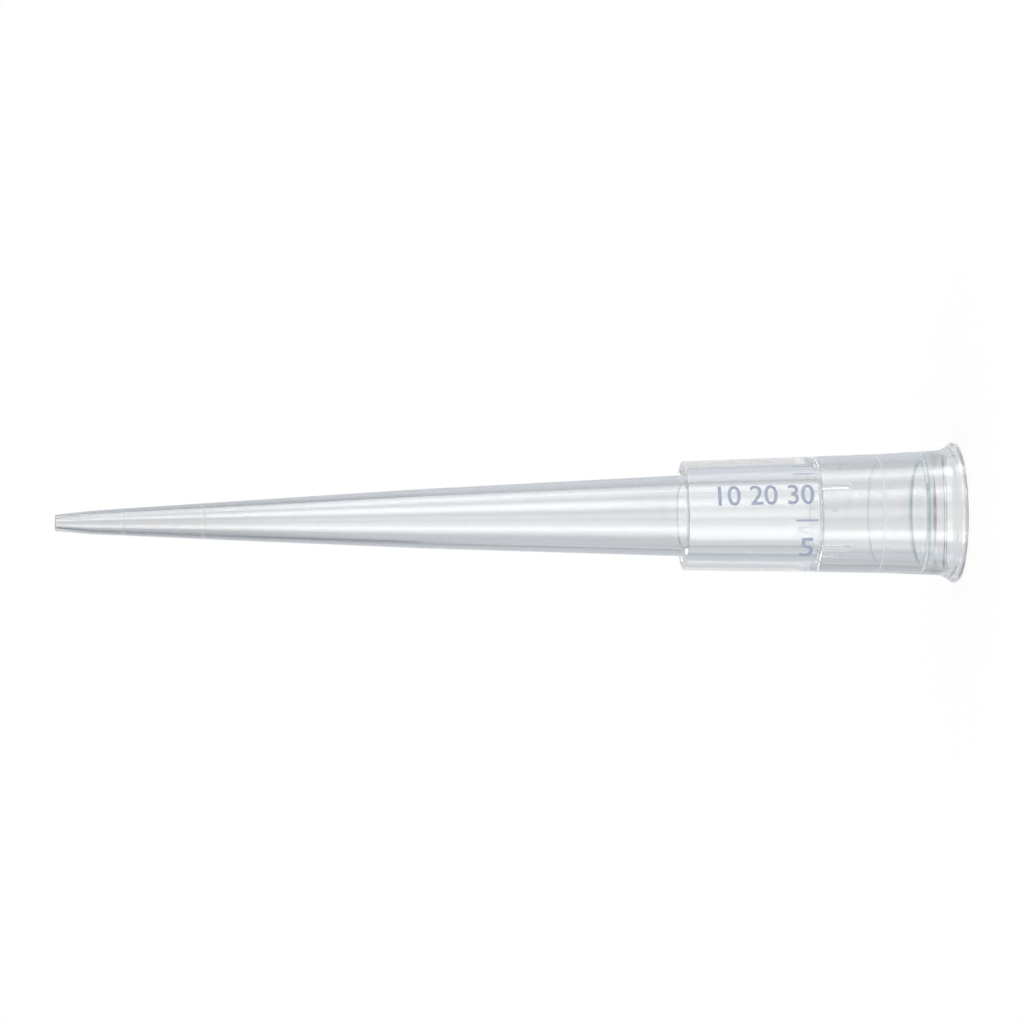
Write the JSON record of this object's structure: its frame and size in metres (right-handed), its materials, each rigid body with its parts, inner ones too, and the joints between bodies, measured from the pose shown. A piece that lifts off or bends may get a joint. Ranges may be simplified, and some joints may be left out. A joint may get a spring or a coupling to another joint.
{
  "type": "pipette tip",
  "caption": "Long fine clear plastic pipette tip: hollow cone with a narrow orifice, wider collar with a flared mouth, and a stop ledge inside the collar.",
  "frame": {"origin": "centre of the mouth's rim, in the plane that the tip stands on", "axes": "+Z along the axis from the mouth to the orifice; -Y is the side that faces the camera, with the printed marks on it; +X completes the frame"},
  "size_m": [0.0072, 0.0072, 0.0457],
  "materials": {
    "clear_polypropylene": "natural, clear with a faint haze",
    "printed_marks": "thin blue ink on the collar"
  },
  "bodies": {
    "root": {"pipette_tip": "clear_polypropylene"}
  },
  "joints": []
}
